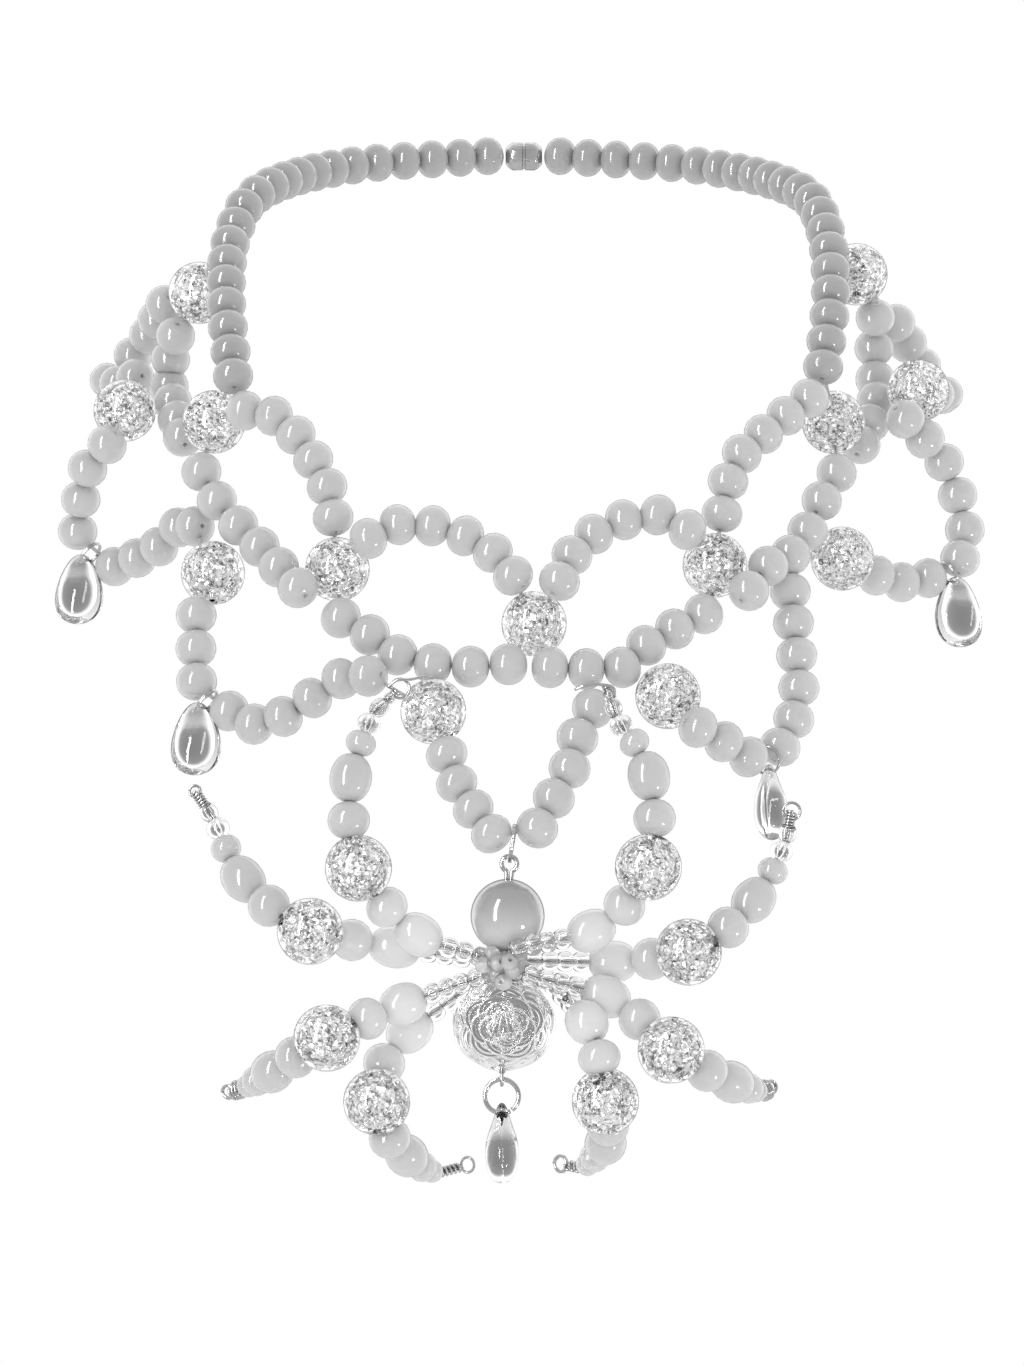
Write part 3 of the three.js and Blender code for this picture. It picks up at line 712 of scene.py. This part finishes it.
def drop_mesh():
    """The drop's own mesh, in metres: hole at the origin, face along -Y, foot down."""
    rows, sides = 44, 48
    heights = -np.cos(np.linspace(0.05, math.pi - 0.05, rows))
    wide = DROP["width"] / 2 * np.sqrt(1 - heights**2) ** 0.9 * (1 - 0.28 * heights)
    angles = np.linspace(0, 2 * math.pi, sides, endpoint=False)
    tall = heights * DROP["length"] / 2
    hole_at = DROP["length"] / 2 - DROP["rim"] - DROP["hole_held"]
    full = DROP["thick"] / DROP["width"]
    neck = DROP["neck"] / (2 * np.interp(hole_at, tall, wide))
    t = np.clip(tall / hole_at, 0, 1)
    flat = full + (neck - full) * t * t * (3 - 2 * t)
    seam = 0.16 * np.exp(-((np.sin(angles) / 0.09) ** 2))
    x = wide[:, None] * np.cos(angles) + seam * np.sign(np.cos(angles)) * (wide > 1)[:, None]
    y = wide[:, None] * np.sin(angles) * flat[:, None]
    z = np.repeat(tall[:, None], sides, 1) - hole_at
    points = np.stack([x, y, z], 2).reshape(-1, 3)
    faces = grid_faces(rows, sides)
    faces += [tuple(range(sides))[::-1], tuple(range((rows - 1) * sides, rows * sides))]
    mesh = bpy.data.meshes.new("drop_blank")
    mesh.from_pydata((points * MM).tolist(), [], faces)
    body = bpy.data.objects.new("drop_blank", mesh)
    drill_mesh = bpy.data.meshes.new("drill")
    around = np.linspace(0, 2 * math.pi, 32, endpoint=False)
    rod = [(DROP["hole"] * math.cos(a) * MM, y * MM, DROP["hole"] * math.sin(a) * MM)
           for y in (-6, 6) for a in around]
    drill_mesh.from_pydata(rod, [], grid_faces(2, 32) + [tuple(range(32))[::-1], tuple(range(32, 64))])
    drill = bpy.data.objects.new("drill", drill_mesh)
    for made in (body, drill):
        bpy.context.scene.collection.objects.link(made)
    cut = body.modifiers.new("hole", "BOOLEAN")
    cut.operation, cut.object, cut.solver = "DIFFERENCE", drill, "EXACT"
    bpy.context.view_layer.update()
    done = body.evaluated_get(bpy.context.evaluated_depsgraph_get()).to_mesh()
    points = np.array([v.co for v in done.vertices]) / MM
    faces = [tuple(face.vertices) for face in done.polygons]
    for made in (body, drill):
        bpy.data.objects.remove(made)
    return points, faces


DROP_POINTS, DROP_FACES = drop_mesh()


def add_drop(blank, foot, along, hang_way, size):
    face = np.cross(hang_way, along)
    face /= np.linalg.norm(face)
    top = -hang_way
    turn = np.stack([np.cross(face, top), face, top], axis=1)
    place = foot + hang_way * (DROP["hole_held"] - size[1] - HOLE_PLAY)
    blank.add(placed(DROP_POINTS, (turn, place)), DROP_FACES, "clear")


def about(vector, axis, degrees):
    return np.array(Quaternion(axis, math.radians(degrees)) @ Vector(vector))


for name in order:
    _, hung, _ = STRANDS[name]
    if not hung:
        continue
    last, following = beads_of[name][-1][0], beads_of[order[order.index(name) + 1]][0][0]
    middle, along = (last + following) / 2, (following - last) / np.linalg.norm(following - last)
    if hung == "pendant":
        pendant_thread = middle
        continue
    ring_way, drop_way = (about(along, CHEST, -degrees) for degrees in TURNS.get(hung, (0, 0)))
    centre, foot = hang(middle, ring_way, CHEST, RING["net"])
    blank = Blank()
    add_ring(blank, centre, ring_way, RING["net"])
    blank.make(f"jump_ring_{hung}", "net", [f"ring_{hung}"])
    blank = Blank()
    add_drop(blank, foot, drop_way, CHEST, RING["net"])
    blank.make(f"glass_drop_{hung}", "net", [f"drop_{hung}"], sharp=40)
print("drop faces:", len(DROP_FACES))

# %% [markdown]
# ## The clasp
# Behind the neck a small screw barrel closes the loop. It is turned in two halves with a fine
# groove between them and a rounded shoulder at each end.

# %% Clasp
CLASP = {"radius": 3.0, "half": 4.0, "y": 51.6, "z": 39}
around = [(0.5, -4.0), (1.6, -4.0), (2.2, -3.6), (2.7, -3.0), (3.0, -2.4), (3.0, -0.35), (2.75, -0.2),
          (2.75, 0.2), (3.0, 0.35), (3.0, 2.4), (2.7, 3.0), (2.2, 3.6), (1.6, 4.0), (0.5, 4.0)]
points, faces = turned(around, 48)
knurl = np.hypot(points[:, 0], points[:, 1]) > 2.95
angles = np.arctan2(points[:, 1], points[:, 0])
points[knurl, :2] *= (1 + 0.02 * np.sign(np.sin(24 * angles[knurl] + 0.1)))[:, None]
blank = Blank()
blank.add(placed(points, frame_at((0, CLASP["y"], CLASP["z"]), (1, 0, 0))), faces, "silver")
blank.make("barrel_clasp", "net", ["clasp"], sharp=35)

# %% [markdown]
# ## The pendant's ring and pin
# A double jump ring hangs on the bare thread at the foot of the V. One wire makes the whole spine
# of the spider: a round eye on top, a straight pin through head and rose, and a small eye turned
# a quarter round below, so that the tail drop shows its edge.

# %% Places down the pin
UPPER_EYE, LOWER_EYE = (1.5, 0.4), (1.15, 0.35)
PIN_NECK = 1.0
EYE_BEND, EYE_WIRE = 1.5, 0.45
RING_LEAN = 9
HEAD = 7.2
ROSE = {"width": 20.2, "height": 18.6, "thick": 12.0}
WAIST = 4.5
PIN = 0.6
ring_way = about(RIGHT, BACK, RING_LEAN)
ring_centre, ring_foot = hang(pendant_thread, ring_way, about(DOWN, BACK, RING_LEAN), RING["pendant"])
upper_eye = ring_foot + DOWN * (UPPER_EYE[0] - UPPER_EYE[1] - RING["pendant"][1] - GAP)
pin_way = np.array([-0.035, 0, -1]) / math.hypot(0.035, 1)


def down_pin(distance):
    return upper_eye + pin_way * distance


head = down_pin(sum(UPPER_EYE) + PIN_NECK + HEAD)
rose = head + pin_way * (HEAD + WAIST + ROSE["height"] / 2)
lower_eye = rose + pin_way * (ROSE["height"] / 2 + sum(LOWER_EYE))
print("head, rose and lower eye at", head.round(1), rose.round(1), lower_eye.round(1))

# %% Ring and pin
blank = Blank()
add_ring(blank, ring_centre, ring_way, RING["pendant"], 1.0)
blank.make("pendant_jump_ring", "link", ["pendant_ring"])

angles = np.linspace(-0.38 * math.pi, 1.38 * math.pi, 26)
loop = [(EYE_BEND * math.cos(a), EYE_BEND * math.sin(a)) for a in angles]
foot = sum(UPPER_EYE) + PIN_NECK + 0.2
loop = [(0.48, -foot), (0.5, 0.9 - foot), *loop, (-0.5, 0.9 - foot), (-0.48, -foot)]
pin_side = np.array([1.0, 0, -0.035]) / math.hypot(0.035, 1)
top_loop = [upper_eye + x * pin_side - h * pin_way for x, h in loop]
foot_loop = circle(frame_at(lower_eye, RIGHT, -pin_way), LOWER_EYE[0], 0, 0.92)
near_rose = int(np.argmin(np.linalg.norm(foot_loop - rose, axis=1)))
foot_loop = np.roll(foot_loop[:-1], -near_rose, axis=0)
blank = Blank()
blank.add(*wire(Line(top_loop, 4).points, EYE_WIRE, 12), "silver")
blank.add(*wire(foot_loop, LOWER_EYE[1], 10), "silver")
shaft = [down_pin(UPPER_EYE[0] + d) for d in (1.6, 2.2, 20, 38)] + [lower_eye - pin_way * LOWER_EYE[0]]
blank.add(*wire(shaft, PIN, 12), "silver")
waist_top = head + pin_way * HEAD
wrap = circle(frame_at(waist_top + pin_way * WAIST / 2, pin_way), 1.15, 0, 6, 0.8 * WAIST, 20)
blank.add(*wire(wrap, 0.35, 6), "silver")
blank.make("spine_pin", "spider", ["eye_pin"])

# %% [markdown]
# ## Head and rose
# The head is a large bead of cat's-eye glass, full of fine fibres that run with the hole. The rose
# is pressed clear glass: petals lie over each other in rings, each with a raised edge, turned from
# ring to ring. The height of the topmost petal at each place gives the relief on both faces.

# %% Head
blank = Blank()
add_bead(blank, head, pin_way, HEAD, HEAD * 0.985, "cats_eye", 0.85, sides=64, steps=40)
blank.make("cats_eye_head", "spider", ["head_bead"])

# %% Rose
PETALS = [  # ring's distance from the middle, petal's radius, petals, first angle, height of its edge
    (0.60, 0.47, 7, 0.10, 0.22),
    (0.50, 0.45, 6, 0.60, 0.36),
    (0.40, 0.41, 5, 0.25, 0.50),
    (0.30, 0.35, 5, 0.85, 0.63),
    (0.21, 0.28, 4, 0.35, 0.76),
    (0.12, 0.21, 3, 1.57, 0.88),
]
VEINS = 4.5  # fine ridges from a petal's middle to its edge
ROSE_RINGS, ROSE_SIDES = 84, 220


def rose_relief(u, w):
    """Height from 0 to 1 of the topmost petal at each place of the unit disc."""
    height = 0.12 * (1 - np.hypot(u, w) ** 2)
    for ring, size, count, first, edge in PETALS:
        for k in range(count):
            angle = first + 2 * math.pi * k / count
            near = np.hypot(u - ring * math.cos(angle), w - ring * math.sin(angle)) / size
            lip = edge - 0.5 * (1 - near) - 0.25 * np.clip((near - 0.93) / 0.07, 0, 1)
            lip += 0.055 * np.cos(2 * math.pi * VEINS * near)
            height = np.where((near < 1) & (edge - 0.5 * (1 - near) > height - 0.12), lip, height)
    height = np.where((w > -0.16) & (w < 0.30) & (np.abs(u) < 0.16 - 0.4 * w),
                      0.80 + 0.2 * np.abs(np.sin(9 * (np.abs(u) + 0.4 * w))), height)
    return height


def add_rose(blank):
    """Front and back discs with their reliefs, joined at a round rim."""
    parts = (np.arange(ROSE_RINGS) + 0.5) / (ROSE_RINGS - 0.5)
    out = np.sin(np.concatenate([parts, parts[-2::-1]]) * math.pi / 2) ** 0.9
    face = np.repeat([-1.0, 1.0], [ROSE_RINGS, ROSE_RINGS - 1])
    angle = 2 * math.pi * np.arange(ROSE_SIDES) / ROSE_SIDES
    u, w = out[:, None] * np.cos(angle), out[:, None] * np.sin(angle)
    lobes = 1 - 0.012 * out[:, None] ** 3 * (1 - np.cos(7 * (angle - 0.1)))
    dome = np.sqrt(np.clip(1 - out**2.1, 0, 1))[:, None]
    relief = np.where(face[:, None] < 0, rose_relief(u, w), 0.5 + 0.3 * rose_relief(-u, w))
    depth = ROSE["thick"] / 2 * dome * (0.64 + 0.36 * relief)
    points = np.stack([u * lobes * ROSE["width"] / 2, face[:, None] * depth,
                       w * lobes * ROSE["height"] / 2], 2).reshape(-1, 3)
    rows = len(out)
    faces = grid_faces(rows, ROSE_SIDES)
    faces += [tuple(range(ROSE_SIDES))[::-1], tuple(range((rows - 1) * ROSE_SIDES, rows * ROSE_SIDES))]
    blank.add(points + rose, faces, "clear")


blank = Blank()
add_rose(blank)
blank.make("pressed_rose", "spider", ["rose_bead"], sharp=60)
print("rose faces:", len(blank.faces))

# %% [markdown]
# ## Tail
# The tail ring hangs from the lower eye, and the last drop on it faces sideways.

# %% Tail
eye_foot = lower_eye + DOWN * LOWER_EYE[0]
tail_centre, tail_foot = hang(eye_foot, BACK, DOWN, RING["tail"], LOWER_EYE[1])
blank = Blank()
add_ring(blank, tail_centre, BACK, RING["tail"], 4.2, turns=1)
blank.make("tail_jump_ring", "spider", ["tail_ring"])
blank = Blank()
add_drop(blank, tail_foot, BACK, DOWN, RING["tail"])
blank.make("glass_drop_tail", "spider", ["tail_drop"], sharp=40)

# %% [markdown]
# ## Legs
# A leg is a doubled wire strung with small clear beads at its root, then milky ovals and rounds
# with a crackle bead between. Past the last bead the wires are wound round each other and end in a
# loop, so that no sharp end is left. Each foot was wound by hand and has its own turns.

# %% Sizes of a leg's beads
LEG_BEAD = {  # radius, half length
    "seed": (1.9, 1.7), "oval": (4.0, 5.1), "round": (4.0, 3.9), "crackle": (CRACKLE, CRACKLE - 0.1),
    "small": (2.9, 2.6), "end": (2.2, 2.0),
}
LEG_ORDER = ["oval", "round", "crackle", "round", "oval", "small", "end"]
# The ovals and rounds nearest the waist take paler copies of the milky glass: painted light, brightest
# at the spider's middle.
PAINTED_LIGHT_TONES = ["milky_bright", "milky_light", "milky"]  # from the waist out
CLEAR_ENDS = ("leg_left_1", "leg_left_2", "leg_right_1", "leg_right_2")
FEET = {  # clear beads, turns of the winding, its radius, the end loop's radius and turns
    "leg_left_1": (2, 2, 0.7, 1.9, 1),
    "leg_left_2": (1, 6, 0.85, 1.1, 2),
    "leg_left_3": (0, 3, 1.7, 1.3, 2),
    "leg_left_4": (0, 5, 0.8, 1.5, 1),
    "leg_right_1": (2, 2, 0.7, 1.0, 1),
    "leg_right_2": (1, 6, 0.85, 1.7, 2),
    "leg_right_3": (0, 3, 1.9, 1.2, 2),
    "leg_right_4": (0, 3, 0.9, 1.6, 2),
}


# %% Seeds round the waist
INNER = {"radius": 1.65, "half": 1.45, "apart": 2.8, "from_leg": 3.1}
CLEAR_OF = {"head": HEAD + 1.6, "pin": PIN + 1.7, "rose": 1.16}  # the rose's as a part of its size
ROUNDS, EASE = 200, 0.3
inner_seeds = {}  # where each leg's wire carries more seeds on its way to the pin
for name, (_, _, route) in LEGS.items():
    root = spot(*route[0])
    in_front = root[1] < -90
    goal = waist_top + pin_way * WAIST / 2 + np.array([0, -4.2 if in_front else -1.5, 0])
    count = 3 if in_front else 2
    steps = [(k + 1.0) / (count + 0.6) for k in range(count)]
    inner_seeds[name] = [root + (goal - root) * step for step in steps]
free = np.array([place for places in inner_seeds.values() for place in places])
fixed = []  # the first two seeds of each leg
for seeds, _, route in LEGS.values():
    line = Line([spot(*p) for p in route])
    fixed += [line.at(2 * LEG_BEAD["seed"][1] * k) for k in range(2)]
fixed = np.array(fixed)
half_rose = np.array([ROSE["width"], ROSE["thick"], ROSE["height"]]) / 2
for _ in range(ROUNDS):  # push the seeds apart until they lie side by side
    for others, apart in ((free, INNER["apart"]), (fixed, INNER["from_leg"])):
        gaps = free[:, None] - others[None]
        reach_apart = np.linalg.norm(gaps, axis=2) + 1e-9
        push = np.clip(apart - reach_apart, 0, None) * (reach_apart > 1e-6)
        free = free + EASE * (gaps / reach_apart[..., None] * push[..., None]).sum(1)
    from_head = free - head
    away = np.linalg.norm(from_head, axis=1)
    free += from_head / away[:, None] * np.clip(CLEAR_OF["head"] - away, 0, None)[:, None]
    along_pin = (free - waist_top) @ pin_way
    from_pin = free - waist_top - along_pin[:, None] * pin_way
    beside = np.linalg.norm(from_pin, axis=1)
    free += from_pin / beside[:, None] * np.clip(CLEAR_OF["pin"] - beside, 0, None)[:, None]
    depth = np.linalg.norm((free - rose) / half_rose, axis=1)
    free += (free - rose) * np.clip(CLEAR_OF["rose"] / depth - 1, 0, None)[:, None]
count = 0
for name, places in inner_seeds.items():
    inner_seeds[name] = list(free[count:count + len(places)])
    count += len(places)
print("seeds round the waist:", count)


# %% Beads and feet of a leg
def leg_beads(seeds, route):
    """The leg's line, and each bead's kind, centre, way, radius and half length."""
    kinds = ["seed"] * seeds + LEG_ORDER
    halves = np.array([LEG_BEAD[kind][1] for kind in kinds])
    places = np.concatenate([[0], np.cumsum(halves[:-1] + halves[1:])])
    line = Line([spot(*p) for p in route])
    stretch = line.length / places[-1]
    places = places * stretch
    found = [(kind, line.at(p), line.way(p), LEG_BEAD[kind][0], LEG_BEAD[kind][1] * min(1, stretch))
             for kind, p in zip(kinds, places)]
    return line, found


HOOKS = {  # the loose end of a foot's wire, in x, y, z
    "leg_left_1": [
        (-26.8, -90.2, -77.4), (-25.0, -90.6, -76.1), (-22.4, -90.4, -75.9), (-19.4, -89.6, -75.3)],
    "leg_right_1": [
        (17.4, -91.4, -79.4), (17.0, -92.0, -77.4), (14.0, -92.4, -76.9), (11.4, -92.4, -77.2),
        (9.6, -92.0, -77.9)],
}


FOOT_WIRE = 0.3
TURN_RISE = 0.62  # a little more than the wire's own width, so that its turns lie side by side


def add_foot(blank, name, start, foot):
    """Clear beads, the wound wires, the end loop and, on two legs, the wire's loose end."""
    clear_beads, turns, wound, loop, loop_turns = FEET[name]
    span = foot - start
    reach_out = np.linalg.norm(span)
    toward = span / reach_out
    passed = 0.0
    for k in range(clear_beads):
        size = (1.75, 1.9) if k == 0 else (1.15, 0.9)
        centre = start + toward * (passed + size[1])
        add_bead(blank, centre, toward, size[0], size[1], "clear", 0.5, 0.8, 16, 9)
        passed += 2 * size[1]
    add_thread(blank, np.linspace(start, foot, 8), 0.28, "silver")
    room = max(reach_out - passed, 1.2)
    middle = start + toward * (passed + room / 2)
    rise = max(TURN_RISE * turns, 0.8 * room)
    coil = circle(frame_at(middle, toward), wound, 0.3, turns, rise, 18)
    blank.add(*wire(coil, FOOT_WIRE, 6), "silver")
    out = foot + toward * (loop * 0.8)
    face = np.cross(toward, BACK)
    face = np.cross(face / np.linalg.norm(face), toward)
    ring = circle(frame_at(out, face), loop, 0, 0.95 * loop_turns, 0.6 * (loop_turns - 1) + 0.1, 22)
    blank.add(*wire(ring, FOOT_WIRE, 6), "silver")
    if name in HOOKS:
        blank.add(*wire(Line(HOOKS[name], 5).points, FOOT_WIRE, 6), "silver")


# %% Legs
for number, (name, (seeds, foot, route)) in enumerate(LEGS.items()):
    blank = Blank()
    line, beads = leg_beads(seeds, route)
    for place, (kind, centre, way, radius, half) in enumerate(beads, -seeds):
        if kind == "crackle":
            add_crackle(blank, centre, way, 100 + number)
        elif kind == "seed":
            add_bead(blank, centre, way, radius * 1.06, half * 0.98, "seed", 0.7, 0.45, steps=13)
        else:
            # The first beads of a leg take the painted-light copies of the milky glass.
            bead_finish = PAINTED_LIGHT_TONES[min(place, 2)] if kind in ("oval", "round") else "milky"
            if kind == "end" and name in CLEAR_ENDS:
                bead_finish = "seed"
            add_bead(blank, centre, way, radius * 1.03, half, bead_finish, fullness=LEG_FULLNESS)
    inner = inner_seeds[name][::-1]
    collar = waist_top + pin_way * np.clip((inner[0] - waist_top) @ pin_way, 0.6, WAIST - 0.6)
    path = Line([collar, *inner, *line.at(np.linspace(0, line.length, 30))], 4)
    for k, centre in enumerate(inner):
        before, after = ([collar, *inner][k], [*inner, line.at(0)][k + 1])
        # The seeds round the waist take the pale seed glass: painted light for the haze there.
        add_bead(blank, centre, after - before, INNER["radius"], INNER["half"], "pale_seed",
                 0.4, 0.55, 20, 11)
    add_thread(blank, path.at(np.linspace(0, path.length, 60)), 0.26, "silver")
    _, last, way, _, half = beads[-1]
    add_foot(blank, name, last + way * half, spot(*foot))
    blank.make(f"spider_{name}", "spider", [name])
print("legs made:", len(LEGS))

# %% [markdown]
# ## Light and background
# Glass shows the room that it stands in. The picture's background is plain white, but the glass
# sees a soft room instead: dim just behind the choker, as against skin, bright to the sides, and
# even in front. A tall narrow window lamp draws the long highlight on each bead, and a small lamp
# low on the other side the bright dot.

# %% Room
world = bpy.data.worlds.new("room")
bpy.context.scene.world = world
world.use_nodes = True
room = Tree(world)
way = room.node("ShaderNodeTexCoord", output=0)
behind = room.node("ShaderNodeSeparateXYZ", {}, {0: way}, 1)
ROOM = [  # from in front of the choker to behind it: half of each direction's brightness
    (0.0, 0.33), (0.30, 0.35), (0.50, 0.45), (0.70, 0.55), (0.82, 0.85), (0.90, 0.80),
    (0.955, 0.17), (1.0, 0.12),
]
soft = room.node("ShaderNodeValToRGB", {"stops": ROOM}, {0: behind * 0.5 + 0.5})
seen = Value(room, room.nodes.new("ShaderNodeLightPath").outputs["Is Camera Ray"])
white = (0.5, 0.5, 0.5, 1)
colour = room.node("ShaderNodeMix", {"data_type": "RGBA"}, {"Factor": seen, "A": soft, "B": white}, 2)
background = room.nodes["Background"]
room.links.new(colour.socket, background.inputs["Color"])
background.inputs["Strength"].default_value = 2.0
bpy.context.scene.view_settings.view_transform = "Standard"
MIDDLE = np.array([-2.6, -60, -90])


def lamp(name, azimuth, elevation, distance, size, glow, shines=True):
    """A soft lamp seen from the choker's middle: azimuth to the right of straight ahead, in degrees."""
    a, e = math.radians(azimuth), math.radians(elevation)
    way = np.array([math.sin(a) * math.cos(e), -math.cos(a) * math.cos(e), math.sin(e)])
    data = bpy.data.lights.new(name, "AREA")
    data.shape = "RECTANGLE"
    data.size, data.size_y = size
    data.energy = glow * math.pi * size[0] * size[1]
    made = bpy.data.objects.new(name, data)
    made.location = Vector((MIDDLE + way * distance) * MM)
    made.rotation_euler = Vector(-way).to_track_quat("-Z", "Y").to_euler()
    made.visible_camera, made.visible_glossy = False, shines
    made.visible_diffuse = not shines
    bpy.context.scene.collection.objects.link(made)


lamp("window_lamp", -38, 18, 800, (0.11, 1.0), 24.0)
lamp("dot_lamp", 52, -32, 800, (0.09, 0.09), 40.0)
lamp("front_lamp", 5, -20, 700, (0.5, 0.4), 1.2, shines=False)

# %% [markdown]
# ## Floor
# The choker hangs at neck height, so the floor lies well below it: a pale disc that fades out
# towards its edge. It isn't part of the object.

# %% Floor
FLOOR = {"rings": 8, "apart": 0.45, "sides": 96, "height": -1.2, "faded": 3.6}  # in metres
angles = np.linspace(0, 2 * math.pi, FLOOR["sides"], endpoint=False)
points = [(FLOOR["apart"] * ring * math.cos(a), FLOOR["apart"] * ring * math.sin(a), FLOOR["height"])
          for ring in range(1, FLOOR["rings"] + 1) for a in angles]
faces = grid_faces(FLOOR["rings"], FLOOR["sides"]) + [tuple(range(FLOOR["sides"]))]
floor_mesh = bpy.data.meshes.new("floor")
floor_mesh.from_pydata(points, [], faces)


def floor_changes(tree):
    speckle = placed_noise(tree, 30.0)
    where = tree.node("ShaderNodeTexCoord", output=3)
    middle = (0, 0, FLOOR["height"])
    far = tree.node("ShaderNodeVectorMath", {"operation": "DISTANCE"}, {0: where, 1: middle}, 1)
    return {"Base Color": grey(tree, 0.84, 0.88, speckle), "Alpha": (FLOOR["faded"] - far) * 0.5}


floor_mesh.materials.append(finish_of("pale_floor", {"Roughness": 0.9}, floor_changes))
floor = bpy.data.objects.new("floor", floor_mesh)
bpy.context.scene.collection.objects.link(floor)
